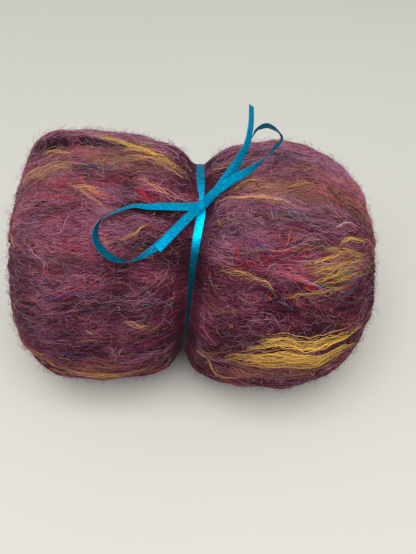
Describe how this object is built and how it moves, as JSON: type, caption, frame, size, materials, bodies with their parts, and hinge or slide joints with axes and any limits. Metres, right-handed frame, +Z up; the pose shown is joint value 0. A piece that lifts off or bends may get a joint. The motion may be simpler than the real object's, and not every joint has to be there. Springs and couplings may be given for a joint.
{
  "type": "fibre batt tied with a ribbon",
  "caption": "Soft batt of carded wool and silk fibre, rolled up and tied round its waist with a narrow satin ribbon in a bow.",
  "frame": {"origin": "centre of the batt's footprint, on the plane it rests on", "axes": "+X along the roll, the batt's longest side; +Z up; -Y towards the side that the bow's left loop hangs over"},
  "size_m": [0.275, 0.206, 0.2164],
  "materials": {
    "carded_wool": "matte",
    "satin_ribbon": "satin"
  },
  "bodies": {
    "root": {"batt": "carded_wool", "ribbon": "satin_ribbon"}
  },
  "joints": []
}
